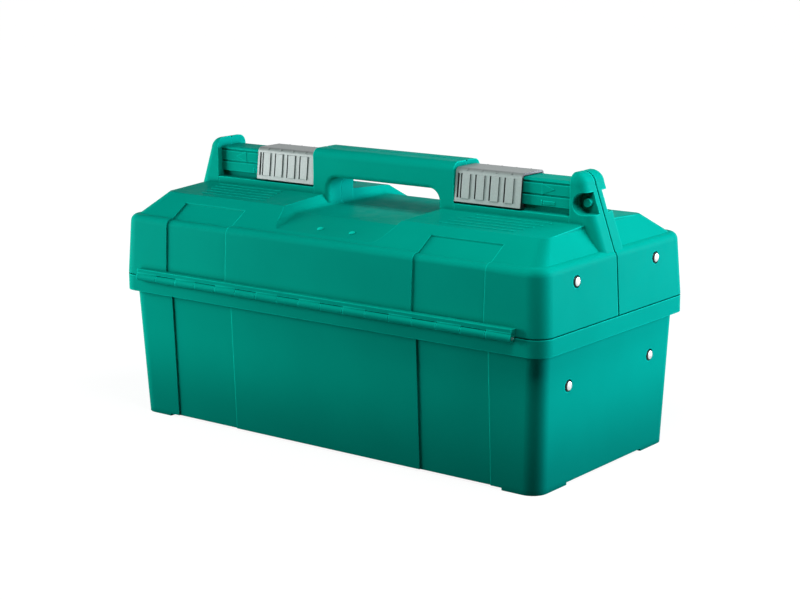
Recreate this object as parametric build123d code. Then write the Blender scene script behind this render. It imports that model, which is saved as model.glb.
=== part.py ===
from build123d import *
import os
from math import hypot

os.makedirs("parts", exist_ok=True)

# Moulded toolbox with two outward-opening lid halves, a cantilever tray under each, and sliding latches.
# Frame: origin on the floor under the middle of the box, X along its length, front at -Y, Z up, millimetres.

# Rim, a band that stands proud of the tub's wall, carries the lids and sets the overall length and width
rim_length = 430.0
rim_width = 210.0
rim_height = 13.5
rim_corner = 14.0
rim_proud_end = 5.5
rim_proud_side = 6.5

# Tub
rim_bottom = 108.5
tub_draft_end = 5.0
tub_draft_side = 4.0
tub_corner = 13.0
wall = 3.0
tub_floor = 3.0
foot_height = 2.0
foot_length = 32.0
foot_width = 40.0

# Lid shell
lid_seam = 0.4
lid_wall_height = 45.6
lid_draft_end = 2.5
lid_draft_side = 2.0
hip_rise = 22.0
hip_run_end = 18.5
hip_run_side = 34.0
ledge_corner = 7.0
roof_rise = 3.0
shoulder_rise = 5.5
shoulder_width_end = 6.0
shoulder_round = 6.5
hip_corner = 10.0
hip_root = 1.5
lid_edge_break = 0.8
split_gap = 0.4
split_relief = 1.0

# Sunk panels on the long walls and the ribs on the ledges
panel_length = 67.0
panel_from_end = 52.5
panel_below_ledge = 9.0
panel_depth = 1.2
ledge_rib_count = 5
ledge_rib_length = 70.0
ledge_rib_width = 1.6
ledge_rib_height = 0.6
ledge_rib_pitch = 8.5
ledge_rib_from_ridge = 8.0
ledge_rib_from_end = 23.0
ledge_rib_stagger = 2.8

# Hand recess under the handle
recess_floor_half_length = 57.0
recess_side_flare = 5.0
recess_depth = 9.0
recess_flat_inset = 9.0
recess_lip_inset = 11.5
recess_lip_drop = 8.7
recess_round = 6.0

# Handle, plinth and ridge
ridge_half_width = 18.0
plinth_height = 5.0
handle_clearance = 14.5
handle_depth = 23.0
grip_half_length = 57.0
handle_post = 15.5
grip_corner = 10.0
handle_round = 7.0
grip_round = 4.0
handle_wall = 3.0

# Latch rail
rail_half_width = 12.5
rail_neck_half_width = 10.0
rail_neck_height = 5.0
rail_height = 21.0
rail_round = 2.0
rail_pocket_half_width = 7.5
rail_groove = 0.8
rail_groove_rises = (8.4, 18.0)
arrow_rise = 13.2
arrow_length = 12.0
arrow_height = 9.0
arrow_proud = 0.25
fit_gap = 0.4

# End ears, placed from the ends of the ledge and from the roof
ear_inset = 13.0
ear_rise = 38.3
ear_shoulder_inset = 1.3
ear_shoulder_rise = 29.0
ear_bulge_inset = 5.0
ear_bulge_rise = 35.8
ear_foot_inset = 0.5
ear_foot_drop = 1.0
ear_round = 8.0
scoop_inset = 2.5
scoop_rise = 15.5
scoop_radius = 8.3
ear_web = 6.0
eye_boss_radius = 3.3
eye_boss_length = 4.0

# Latches
latch_length = 63.0
latch_wall = 1.9
latch_top_wall = 2.0
latch_lip = 3.0
latch_flare = 2.6
latch_play = 0.6
latch_round = 4.0
grip_pad_count = 4
grip_pad_width = 7.4
grip_pad_pitch = 13.8
grip_pad_proud = 0.8
grip_pad_below_top = 4.4
grip_groove_width = 1.8
grip_groove_depth = 0.9
end_groove_inset = 2.2

# Hinges
hinge_from_end = 23.75
knuckle_count = 17
knuckle_gap = 0.5
barrel_radius = 3.2
barrel_rim_gap = 0.4
pin_radius = 1.5
pin_play = 0.05
hinge_ledge_height = 3.4
hinge_ledge_gap = 0.3
hinge_ledge_proud = 5.0

# Linkage: the line from the hinge to the lid rivet is the length and slope of each arm
lid_rivet_inset = 48.0
lid_rivet_rise = 36.1
tray_pin_from_split = 7.4
base_rivet_drop = 29.5
rivet_radius = 2.5
rivet_play = 0.05
rivet_head_radius = 4.2
rivet_head_height = 1.6
rivet_head_round = 1.3
rivet_sink_radius = 5.0
rivet_sink = 0.8
washer_radius = 5.0
washer_thickness = 0.8
boss_radius = 6.0
arm_half_width = 5.5
arm_thickness = 1.8
arm_side_gap = 0.4
arm_wall_gap = 0.5

# Trays, placed from their two pivots
tray_wall = 2.5
tray_floor = 2.5
tray_above_pivot = 4.5
tray_knee_below_pivot = 6.5
tray_front_reach = 19.0
tray_floor_reach = 3.0
tray_over_pin = 4.7
tray_mid_gap = 4.0
tray_lug_radius = 5.5
tray_end_round = 5.0
tray_partition_count = 3
tray_partition = 2.0
tray_partition_drop = 6.0

SIDES = (-1, 1)
tiny = 0.01
near = 1.0
far = 2 * rim_length

# Sizes that follow from those above
tub_neck_length = rim_length - 2 * rim_proud_end
tub_neck_width = rim_width - 2 * rim_proud_side
tub_floor_length = tub_neck_length - 2 * tub_draft_end
tub_floor_width = tub_neck_width - 2 * tub_draft_side
rim_top = rim_bottom + rim_height
lid_bottom = rim_top + lid_seam
wall_top = lid_bottom + lid_wall_height
shoulder_top = wall_top + shoulder_rise
wall_top_length = rim_length - 2 * lid_draft_end
wall_top_width = rim_width - 2 * lid_draft_side
ledge_height = wall_top + hip_rise
ledge_length = wall_top_length - 2 * hip_run_end
ledge_width = wall_top_width - 2 * hip_run_side
roof_height = ledge_height + roof_rise
panel_end = rim_length / 2 - panel_from_end
panel_start = panel_end - panel_length
panel_top_half_width = ledge_width / 2 + panel_below_ledge
recess_floor = roof_height - recess_depth
recess_top_half_length = recess_floor_half_length + recess_side_flare
recess_flat_half_width = ledge_width / 2 - recess_flat_inset
recess_lip_half_width = wall_top_width / 2 - recess_lip_inset
recess_lip_height = recess_floor - recess_lip_drop
handle_bottom = roof_height + handle_clearance
handle_top = handle_bottom + handle_depth
handle_half_length = grip_half_length + handle_post
plinth_top = roof_height + plinth_height
rail_bottom = plinth_top + rail_neck_height
rail_top = rail_bottom + rail_height
ear_inner = ledge_length / 2 - ear_inset
ear_top = roof_height + ear_rise
ear_shoulder_x = ledge_length / 2 - ear_shoulder_inset
ear_shoulder_z = roof_height + ear_shoulder_rise
ear_bulge_x = ledge_length / 2 - ear_bulge_inset
ear_bulge_z = roof_height + ear_bulge_rise
ear_foot_x = wall_top_length / 2 - ear_foot_inset
ear_foot_z = wall_top - ear_foot_drop
scoop_x = ledge_length / 2 - scoop_inset
scoop_z = roof_height + scoop_rise
hinge_length = rim_length - 2 * hinge_from_end
hinge_y = rim_width / 2 + barrel_rim_gap + barrel_radius
hinge_z = lid_bottom
hinge_ledge_z = hinge_z + barrel_radius + hinge_ledge_gap
lid_rivet_y = rim_width / 2 - lid_rivet_inset
lid_rivet_z = lid_bottom + lid_rivet_rise
base_rivet_z = rim_bottom - base_rivet_drop
arm_run = hinge_y - lid_rivet_y
arm_rise = lid_rivet_z - hinge_z
tray_pin_y = tray_pin_from_split
base_rivet_y = tray_pin_y + arm_run
tray_pin_z = base_rivet_z + arm_rise
tray_top = lid_rivet_z + tray_above_pivot
tray_knee_z = lid_rivet_z - tray_knee_below_pivot
tray_bottom = tray_pin_z + tray_over_pin
tray_front_half_width = lid_rivet_y + tray_front_reach
tray_floor_half_width = lid_rivet_y + tray_floor_reach
latch_ceiling = rail_top + latch_play
latch_top = latch_ceiling + latch_top_wall
latch_floor = rail_bottom - latch_play / 2
latch_bottom = latch_floor - latch_lip
latch_start = handle_half_length + fit_gap
rail_end = ear_inner - fit_gap


def tub_half_length(z):
    """Half the outside length of the tub's drafted wall at a height."""
    share = z / rim_bottom
    return (tub_floor_length + (tub_neck_length - tub_floor_length) * share) / 2


def lid_half_length(z):
    """Half the outside length of the lid's drafted wall at a height."""
    share = (z - lid_bottom) / (wall_top - lid_bottom)
    return (rim_length + (wall_top_length - rim_length) * share) / 2


arm_outer_x = tub_half_length(base_rivet_z - arm_half_width) - wall - arm_wall_gap
arm_inner_x = arm_outer_x - arm_thickness
tray_half_length = arm_inner_x - arm_side_gap


def block(x0, x1, y0, y1, z0, z1):
    """A box between two corners."""
    middle = Pos((x0 + x1) / 2, (y0 + y1) / 2, (z0 + z1) / 2)
    return middle * Box(abs(x1 - x0), abs(y1 - y0), abs(z1 - z0))


def rod(x0, x1, y, z, radius):
    """A round bar along X."""
    return Pos((x0 + x1) / 2, y, z) * Rot(0, 90, 0) * Cylinder(radius, abs(x1 - x0))


def prism_x(points, x0, x1):
    """An outline of (y, z) points drawn out along X."""
    face = make_face(Plane.YZ.offset(min(x0, x1)) * Polyline(*points, close=True))
    return extrude(face, amount=abs(x1 - x0), dir=(1, 0, 0))


def prism_y(wires, y0, y1):
    """A closed run of edges drawn in X and Z, drawn out along Y."""
    face = make_face(Plane.XZ.offset(-y1) * wires)
    return extrude(face, amount=y1 - y0, dir=(0, -1, 0))


def level_edges(solid, z):
    """The edges of a solid that lie in one level."""
    def level(edge):
        box = edge.bounding_box()
        return abs(box.min.Z - z) + abs(box.max.Z - z) < tiny
    return solid.edges().filter_by(level)


def tapered_block(levels):
    """A straight-sided block through rounded rectangles given as (z, length, width, corner)."""
    sections = [Pos(0, 0, z) * RectangleRounded(length, width, corner) for z, length, width, corner in levels]
    return loft(sections, ruled=True)


def tub_block(inset, bottom):
    """The tub below its rim, drawn in by an inset, from a given height up."""
    low_length = 2 * (tub_half_length(bottom) - inset)
    low_width = tub_floor_width + (tub_neck_width - tub_floor_width) * bottom / rim_bottom - 2 * inset
    corner = tub_corner - inset
    neck = (rim_bottom, tub_neck_length - 2 * inset, tub_neck_width - 2 * inset, corner)
    return tapered_block([(bottom, low_length, low_width, corner), neck])


def hip_inset(half_top, half_ledge, inset):
    """Half size of the inset ledge: the hip's slope moves in square to itself."""
    run = half_top - half_ledge
    rise = ledge_height - wall_top
    return half_ledge + inset * (run - hypot(run, rise)) / rise


def lid_block(inset):
    """The hollow of both lid halves as one block, drawn in from walls and hips by an inset."""
    run = (wall_top_width - ledge_width) / 2
    rise = ledge_height - wall_top
    fold = wall_top - inset * (hypot(run, rise) - rise) / run
    ledge_z = ledge_height - inset
    long_ledge = 2 * hip_inset(wall_top_length / 2, ledge_length / 2, inset)
    wide_ledge = 2 * hip_inset(wall_top_width / 2, ledge_width / 2, inset)
    corner = rim_corner - inset
    top_corner = ledge_corner - inset / 2
    levels = [
        (lid_bottom, rim_length - 2 * inset, rim_width - 2 * inset, corner),
        (fold, wall_top_length - 2 * inset, wall_top_width - 2 * inset, corner),
        (ledge_z, long_ledge, wide_ledge, top_corner),
        (roof_height - inset, long_ledge, 2 * ridge_half_width, top_corner),
    ]
    return tapered_block(levels)


def lid_outside(inset):
    """Outside of both lid halves: walls up to a rolled shoulder, and the hipped roof that rises inside it."""
    crest = shoulder_top - inset
    crest_length = 2 * (lid_half_length(shoulder_top) - inset)
    crest_width = crest_length - rim_length + rim_width
    corner = rim_corner - inset
    broken = inset + lid_edge_break
    walls = tapered_block([
        (lid_bottom, rim_length - 2 * broken, rim_width - 2 * broken, corner),
        (lid_bottom + lid_edge_break, rim_length - 2 * inset, rim_width - 2 * inset, corner),
        (crest, crest_length, crest_width, corner),
    ])
    walls = fillet(level_edges(walls, crest), shoulder_round - inset)
    rise = ledge_height - shoulder_top
    end_run = (wall_top_length - ledge_length) / 2 - shoulder_width_end
    side_run = hip_run_side * rise / hip_rise
    foot = []
    ledge = []
    for half_ledge, run in ((ledge_length / 2, end_run), (ledge_width / 2, side_run)):
        slant = hypot(run, rise)
        foot.append(2 * (half_ledge + run * (rise + hip_root) / rise - inset * slant / rise))
        ledge.append(2 * (half_ledge + inset * (run - slant) / rise))
    top_corner = ledge_corner - inset / 2
    hips = tapered_block([
        (shoulder_top - hip_root, foot[0], foot[1], hip_corner - inset / 2),
        (ledge_height - inset, ledge[0], ledge[1], top_corner),
        (roof_height - inset, ledge[0], 2 * ridge_half_width, top_corner),
    ])
    return walls + hips


def panel_slabs(inner_half_width, z0, z1):
    """The four stretches of wall that hold a sunk panel."""
    slabs = Part()
    for sx in SIDES:
        for sy in SIDES:
            slabs += block(sx * panel_start, sx * panel_end, sy * inner_half_width, sy * far, z0, z1)
    return slabs


def knuckles(first, web_from, web_to):
    """Every second knuckle of the front hinge, each with the web that ties it to its own half."""
    pitch = hinge_length / knuckle_count
    leaf = []
    for index in range(first, knuckle_count, 2):
        x0 = -hinge_length / 2 + index * pitch + knuckle_gap / 2
        x1 = x0 + pitch - knuckle_gap
        knuckle = rod(x0, x1, -hinge_y, hinge_z, barrel_radius)
        knuckle += block(x0, x1, -hinge_y, -rim_width / 2, web_from, web_to)
        knuckle -= rod(x0 - near, x1 + near, -hinge_y, hinge_z, pin_radius + pin_play)
        leaf.append(knuckle)
    return leaf


def base_tub():
    """Open tub with feet, rim, sunk panels and rivet holes."""
    rim_levels = [(z, rim_length, rim_width, rim_corner) for z in (rim_bottom, rim_top)]
    rim = tapered_block(rim_levels)
    shell = tub_block(0, 0) + rim
    inside = tub_block(wall, foot_height + tub_floor)
    rim_inside_levels = []
    for z in (rim_bottom + wall, rim_top):
        rim_inside_levels.append((z, rim_length - 2 * wall, rim_width - 2 * wall, rim_corner - wall))
    shell -= inside
    shell -= tapered_block(rim_inside_levels)
    shell -= extrude(inside.faces().sort_by(Axis.Z)[-1], amount=wall)
    foot_x = tub_floor_length / 2 - foot_length
    foot_y = tub_floor_width / 2 - foot_width
    shell -= block(-foot_x, foot_x, -far, far, 0, foot_height)
    shell -= block(-far, far, -foot_y, foot_y, 0, foot_height)
    sunk = tub_block(0, 0) - tub_block(panel_depth, 0)
    shell -= sunk & panel_slabs(0, foot_height, rim_bottom)
    face_x = tub_half_length(base_rivet_z)
    for sx in SIDES:
        for sy in SIDES:
            y = sy * base_rivet_y
            shell -= rod(0, sx * far, y, base_rivet_z, rivet_radius + rivet_play) & block(
                sx * tray_half_length, sx * far, -far, far, 0, far)
            shell -= rod(sx * (face_x - rivet_sink), sx * far, y, base_rivet_z, rivet_sink_radius)
    return shell


def recess_tool(drop, spread):
    """The hand recess as a solid with leaning sides, lowered and widened to leave a wall under it."""
    flat = recess_floor - drop
    lip = recess_lip_height - drop
    slope = (flat - lip) / (recess_lip_half_width - recess_flat_half_width)
    out_y = rim_width / 2 + wall
    out_z = lip - slope * (out_y - recess_lip_half_width)
    flat_y = recess_flat_half_width
    points = [(-out_y, out_z), (-flat_y, flat), (flat_y, flat), (out_y, out_z), (out_y, far), (-out_y, far)]
    lean = (recess_top_half_length - recess_floor_half_length) / (roof_height - recess_floor)
    foot_z = out_z - near
    foot = recess_floor_half_length + spread - lean * (recess_floor - foot_z)
    head = foot + lean * (far - foot_z)
    sides = Polyline((-foot, foot_z), (foot, foot_z), (head, far), (-head, far), close=True)
    tool = prism_x(points, -far, far) & prism_y(sides, -far, far)
    low = tool.edges().filter_by(lambda e: e.bounding_box().max.Z < flat + tiny)
    low = low.filter_by(lambda e: abs(e.center().X) > near and abs(e.center().Y) < out_y - near)
    return fillet(low, recess_round)


def handle_half():
    """Front half of the handle with its posts, hollow towards the split."""
    middle = (handle_top + recess_floor) / 2
    outer = Pos(0, middle) * Rectangle(2 * handle_half_length, handle_top - recess_floor)
    hole_low = recess_floor - far
    opening = Pos(0, (handle_bottom + hole_low) / 2) * RectangleRounded(
        2 * grip_half_length, handle_bottom - hole_low, grip_corner)
    split_face = Plane.XZ.offset(split_gap / 2) * (outer - opening)
    half = extrude(split_face, amount=ridge_half_width - split_gap / 2)
    top = half.edges().filter_by(Axis.X).sort_by(Axis.Z)[-2:].sort_by(Axis.Y)[0]
    half = fillet(top, handle_round)
    front = half.faces().sort_by(Axis.Y)[0]
    grip = front.edges().filter_by(lambda e: abs(e.center().X) < grip_half_length + near)
    grip = grip.filter_by(lambda e: e.bounding_box().max.Z < handle_bottom + near)
    grip = grip.filter_by(lambda e: e.center().Z > recess_floor + near)
    half = fillet(grip, grip_round)
    pocket_x = grip_half_length - handle_wall
    half -= block(-pocket_x, pocket_x, -ridge_half_width + handle_wall + grip_round, 0,
                  handle_bottom + handle_wall, handle_top - handle_wall)
    return half - block(-far, far, -split_relief, 0, handle_top - split_relief, far)


def ear_outline(sx, inset):
    """Side outline of an ear and the pilaster below it, drawn in on its outer side."""
    shoulder = (sx * (ear_shoulder_x - inset), ear_shoulder_z - inset)
    foot = (sx * (ear_foot_x - inset), ear_foot_z)
    tip = (sx * ear_inner, ear_top - inset)
    outline = Polyline(foot, (sx * ear_inner, ear_foot_z), tip)
    outline += ThreePointArc(tip, (sx * (ear_bulge_x - inset), ear_bulge_z - inset), shoulder)
    return outline + Line(shoulder, foot)


def ear_half(sx):
    """Front half of one end ear with its pilaster; the right ear has a finger scoop with an eye boss."""
    ear = prism_y(ear_outline(sx, 0), -ridge_half_width, -split_relief)
    front = ear.faces().sort_by(Axis.Y)[0]
    outer = front.edges().filter_by(lambda e: abs(e.center().X) > ear_inner + tiny and
                                    e.bounding_box().max.Z > ear_foot_z + tiny)
    ear = fillet(outer, ear_round)
    ear += prism_y(ear_outline(sx, split_relief), -split_relief, -split_gap / 2)
    if sx < 0:
        return ear
    scoop = Pos(scoop_x, 0, scoop_z) * Rot(90, 0, 0) * Cylinder(scoop_radius, far)
    scoop += block(scoop_x, far, -far, far, scoop_z - scoop_radius, scoop_z + scoop_radius)
    ear -= scoop & block(-far, far, -far, -ear_web, 0, far)
    boss_length = eye_boss_length + ear_web / 2
    boss = Pos(scoop_x, -ear_web / 2 - boss_length / 2, scoop_z) * Rot(90, 0, 0)
    return ear + boss * Cylinder(eye_boss_radius, boss_length)


def ledge_ribs():
    """Thin raised lines on the front ledge, a set near each end, each line shorter towards the wall."""
    fall = (roof_height - ledge_height) / (ledge_width / 2 - ridge_half_width)
    ribs = Part()
    for sx in SIDES:
        for index in range(ledge_rib_count):
            from_ridge = ledge_rib_from_ridge + index * ledge_rib_pitch
            y = -ridge_half_width - from_ridge
            z = roof_height - fall * from_ridge
            x1 = ledge_length / 2 - ledge_rib_from_end - index * ledge_rib_stagger
            x0 = x1 - ledge_rib_length
            side = ledge_rib_width / 2
            ribs += block(sx * x0, sx * x1, y - side, y + side, z - ledge_rib_height, z + ledge_rib_height)
    return ribs


def lid_half():
    """Front lid half: shell, recess, panels, ribs, handle half, ears, hinge ledge and pivot bosses."""
    outer = lid_outside(0)
    hollow = lid_block(wall)
    shell = outer - recess_tool(0, 0)
    shell -= hollow - recess_tool(wall, wall)
    sunk = outer - lid_outside(panel_depth)
    shell -= sunk & panel_slabs(panel_top_half_width, lid_bottom, far)
    shell &= block(-far, far, -far, -split_gap / 2, 0, far)
    relief = outer - lid_outside(split_relief)
    for sx in SIDES:
        shell -= relief & block(sx * ear_inner, sx * far, -split_relief, 0, 0, far)
    shell += ledge_ribs()
    for sx in SIDES:
        shell += ear_half(sx) - hollow
    shell += handle_half()
    shell += block(-hinge_length / 2, hinge_length / 2, -rim_width / 2 - hinge_ledge_proud,
                   -rim_width / 2 + barrel_rim_gap, hinge_ledge_z, hinge_ledge_z + hinge_ledge_height)
    for sx in SIDES:
        reach = sx * (lid_half_length(lid_rivet_z) - wall / 2)
        boss_face = sx * (tray_half_length + arm_side_gap)
        shell += rod(boss_face, reach, -lid_rivet_y, lid_rivet_z, boss_radius)
        shell -= rod(sx * tray_half_length, sx * far, -lid_rivet_y, lid_rivet_z, rivet_radius + rivet_play)
        face_x = lid_half_length(lid_rivet_z) - rivet_sink
        shell -= rod(sx * face_x, sx * far, -lid_rivet_y, lid_rivet_z, rivet_sink_radius)
    return shell


def latch_rail(sx):
    """Plinth and rail on one side of the handle, full width, with a pocket from below."""
    x0 = handle_half_length + fit_gap
    base_z = roof_height - 2 * wall
    plinth = block(sx * x0, sx * rail_end, -ridge_half_width, ridge_half_width, base_z, plinth_top)
    neck = block(sx * x0, sx * rail_end, -rail_neck_half_width, rail_neck_half_width, plinth_top, rail_bottom)
    head = block(sx * x0, sx * rail_end, -rail_half_width, rail_half_width, rail_bottom, rail_top)
    head = fillet(head.edges().filter_by(Axis.X).group_by(Axis.Z)[-1], rail_round)
    rail = plinth + neck + head
    front_tie = block(sx * (handle_half_length - wall), sx * (ear_inner + wall), -rail_neck_half_width,
                      -split_gap / 2, base_z, rail_top - rail_round)
    rail += front_tie
    for sy in SIDES:
        for z in (rail_bottom + rise for rise in rail_groove_rises):
            y = sy * rail_half_width
            cut = rail_groove
            rail -= block(sx * x0, sx * far, y - cut, y + cut, z - cut, z + cut)
    mid = (latch_start + latch_length + rail_end) / 2
    tip = sx * (mid + arrow_length / 2)
    tail = sx * (mid - arrow_length / 2)
    arrow_middle = rail_bottom + arrow_rise
    low = arrow_middle - arrow_height / 2
    high = arrow_middle + arrow_height / 2
    arrow = Polyline((tip, arrow_middle), (tail, high), (tail, low), close=True)
    rail += prism_y(arrow, -rail_half_width - arrow_proud, -rail_half_width + wall)
    rail -= block(sx * (x0 + wall), sx * (rail_end - wall), -rail_pocket_half_width, rail_pocket_half_width,
                  0, rail_top - wall)
    return rail


def front_lid(half):
    """Front lid half with both latch rails, which reach over the split."""
    solid = half
    for sx in SIDES:
        x0 = handle_half_length + fit_gap + wall
        x1 = rail_end - wall
        solid -= block(sx * x0, sx * x1, -rail_pocket_half_width, 0, roof_height - 2 * wall, plinth_top)
        solid += latch_rail(sx)
    return solid


def rear_lid(half):
    """Rear lid half, notched to clear the rails of the front half."""
    solid = mirror(half, Plane.XZ)
    for sx in SIDES:
        solid -= block(sx * handle_half_length, sx * ear_inner, 0, ridge_half_width + fit_gap,
                       recess_floor, ear_top + wall)
    return solid


def latch_half_width(z):
    """Half the inside width of a latch at a height: its skirts spread towards the lips."""
    share = (latch_ceiling - z) / (latch_ceiling - latch_floor)
    return rail_half_width + latch_play + latch_flare * share


def latch_skin(x0, x1, z0, z1, skin):
    """A length of the latch between two heights, with its flared skirts a given distance outside its hollow."""
    low = latch_half_width(z0) + skin
    high = latch_half_width(z1) + skin
    return prism_x([(-low, z0), (low, z0), (high, z1), (-high, z1)], x0, x1)


def latch(sx):
    """Channel latch that hooks under the rail, with grip pads and a finger groove beside each."""
    x0 = min(sx * latch_start, sx * (latch_start + latch_length))
    x1 = x0 + latch_length
    body = latch_skin(x0, x1, latch_bottom, latch_top, latch_wall)
    body = fillet(body.edges().filter_by(Axis.X).group_by(Axis.Z)[-1], latch_round)
    pad_top = latch_top - grip_pad_below_top
    grooves = block(x0 + end_groove_inset, x0 + end_groove_inset + grip_groove_width, -far, far,
                    rail_bottom, pad_top)
    first = (x0 + x1) / 2 - grip_pad_pitch * (grip_pad_count - 1) / 2
    for index in range(grip_pad_count):
        pad_start = first + index * grip_pad_pitch - grip_pad_width / 2
        body += latch_skin(pad_start, pad_start + grip_pad_width, rail_bottom, pad_top,
                           latch_wall + grip_pad_proud)
        grooves += block(pad_start - grip_groove_width, pad_start, -far, far, rail_bottom, pad_top)
    body -= grooves - latch_skin(x0, x1, latch_bottom, latch_top, latch_wall - grip_groove_depth)
    body -= latch_skin(x0 - near, x1 + near, latch_floor, latch_ceiling, 0)
    slot = rail_neck_half_width + latch_play
    return body - block(-far, far, -slot, slot, 0, rail_bottom)


def tray_outline(inset, floor_inset, top):
    """Outline of the front tray's section, drawn in by its wall."""
    run = tray_front_half_width - tray_floor_half_width
    rise = tray_knee_z - tray_bottom
    slant = hypot(run, rise)
    knee_z = tray_knee_z + inset * (slant - rise) / run
    low_z = tray_bottom + floor_inset
    low_y = tray_floor_half_width - inset * slant / rise + floor_inset * run / rise
    return [
        (-tray_front_half_width + inset, top),
        (-tray_front_half_width + inset, knee_z),
        (-low_y, low_z),
        (-tray_mid_gap - inset, low_z),
        (-tray_mid_gap - inset, top),
    ]


def front_tray():
    """Long open tray with a sloped front, partitions and a pivot lug at each end."""
    tray = prism_x(tray_outline(0, 0, tray_top), -tray_half_length, tray_half_length)
    front_edges = tray.edges().filter_by(lambda e: e.bounding_box().max.Y < -tray_floor_half_width + tiny and
                                         abs(e.center().X) > tray_half_length - tiny)
    tray = fillet(front_edges, tray_end_round)
    inner = tray_half_length - tray_wall
    tray -= prism_x(tray_outline(tray_wall, tray_floor, tray_top + wall), -inner, inner)
    spacing = 2 * inner / (tray_partition_count + 1)
    for index in range(tray_partition_count):
        x = -inner + (index + 1) * spacing
        part_outline = tray_outline(tray_wall / 2, tray_floor / 2, tray_top - tray_partition_drop)
        tray += prism_x(part_outline, x - tray_partition / 2, x + tray_partition / 2)
    for sx in SIDES:
        x0 = sx * inner
        x1 = sx * tray_half_length
        tray += rod(x0, x1, -tray_pin_y, tray_pin_z, tray_lug_radius)
        lug_y = -tray_pin_y - tray_lug_radius
        tray += block(x0, x1, lug_y, -tray_mid_gap, tray_pin_z, tray_bottom + tray_floor)
        tray -= rod(sx * (inner - wall), sx * far, -tray_pin_y, tray_pin_z, rivet_radius + rivet_play)
        tray -= rod(sx * (inner - wall), sx * far, -lid_rivet_y, lid_rivet_z, rivet_radius + rivet_play)
    return tray


def arm(sx, sy):
    """Flat link from the tub's rivet to the tray's lug."""
    x0 = sx * arm_inner_x
    x1 = sx * arm_outer_x
    low = (base_rivet_y, base_rivet_z)
    high = (tray_pin_y, tray_pin_z)
    length = hypot(arm_run, arm_rise)
    side_y = arm_half_width * arm_rise / length
    side_z = arm_half_width * arm_run / length
    corners = [
        (sy * (low[0] - side_y), low[1] - side_z),
        (sy * (low[0] + side_y), low[1] + side_z),
        (sy * (high[0] + side_y), high[1] + side_z),
        (sy * (high[0] - side_y), high[1] - side_z),
    ]
    solid = prism_x(corners, x0, x1)
    for y, z in (low, high):
        solid += rod(x0, x1, sy * y, z, arm_half_width)
    solid -= rod(0, sx * far, sy * low[0], low[1], rivet_radius + rivet_play)
    solid -= rod(0, sx * far, sy * high[0], high[1], rivet_radius)
    return solid


def rivet(sx, y, z, outer_face, inner_face):
    """Rivet along X with a rounded head outside and a clinched head inside."""
    shank = rod(sx * inner_face, sx * outer_face, y, z, rivet_radius)
    head = rod(sx * outer_face, sx * (outer_face + rivet_head_height), y, z, rivet_head_radius)
    rim_edge = head.edges().filter_by(GeomType.CIRCLE).sort_by(lambda e: -abs(e.center().X))[0]
    head = fillet(rim_edge, rivet_head_round)
    clinch = rod(sx * (inner_face - rivet_head_height), sx * inner_face, y, z, rivet_head_radius)
    return shank + head + clinch


def washer(sx, y, z, face):
    """Plain washer whose outer face lies at a given distance from the middle."""
    ring = rod(sx * (face - washer_thickness), sx * face, y, z, washer_radius)
    return ring - rod(0, sx * far, y, z, rivet_radius + rivet_play)


def four_corners(make):
    """One copy of a base fitting for each arm."""
    return [make(sx, sy) for sx in SIDES for sy in SIDES]


def two_ends(make):
    """One copy of a lid fitting for each end."""
    return [make(sx) for sx in SIDES]


def save(name, shape):
    """Write a single solid or a group of separate solids."""
    export_step(Compound(children=shape) if isinstance(shape, list) else shape, f"parts/{name}.step")


lid_sink_x = lid_half_length(lid_rivet_z) - rivet_sink
base_sink_x = tub_half_length(base_rivet_z) - rivet_sink
tray_inner_x = tray_half_length - tray_wall

save("base_tub", base_tub())
half = lid_half()
save("front_lid", front_lid(half))
save("rear_lid", rear_lid(half))
tray = front_tray()
save("front_tray", tray)
save("rear_tray", mirror(tray, Plane.XZ))
for name, sx in (("left", -1), ("right", 1)):
    save(f"{name}_latch", latch(sx))
for row, sy in (("front", -1), ("rear", 1)):
    base_leaf = knuckles(1, hinge_z - barrel_radius, rim_top)
    lid_leaf = knuckles(0, hinge_z, hinge_ledge_z)
    if sy > 0:
        base_leaf = [mirror(knuckle, Plane.XZ) for knuckle in base_leaf]
        lid_leaf = [mirror(knuckle, Plane.XZ) for knuckle in lid_leaf]
    save(f"base_{row}_knuckles", base_leaf)
    save(f"{row}_lid_knuckles", lid_leaf)
    pin = rod(-hinge_length / 2, hinge_length / 2, sy * hinge_y, hinge_z, pin_radius)
    save(f"{row}_hinge_pin", pin)
    save(f"{row}_lid_rivets", two_ends(
        lambda sx: rivet(sx, sy * lid_rivet_y, lid_rivet_z, lid_sink_x, tray_inner_x - washer_thickness)))
    save(f"{row}_tray_washers", two_ends(lambda sx: washer(sx, sy * lid_rivet_y, lid_rivet_z, tray_inner_x)))
    for end, sx in (("left", -1), ("right", 1)):
        save(f"{row}_{end}_arm", arm(sx, sy))
        save(f"{row}_{end}_arm_rivet", rivet(sx, sy * tray_pin_y, tray_pin_z, arm_outer_x, tray_inner_x))
save("base_rivets", four_corners(
    lambda sx, sy: rivet(sx, sy * base_rivet_y, base_rivet_z, base_sink_x, arm_inner_x - washer_thickness)))
save("base_washers", four_corners(lambda sx, sy: washer(sx, sy * base_rivet_y, base_rivet_z, arm_inner_x)))
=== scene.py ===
from math import radians

import bpy
from bpy.props import FloatProperty, FloatVectorProperty, IntProperty, PointerProperty
from mathutils import Matrix, Vector
from mathutils.bvhtree import BVHTree


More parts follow.
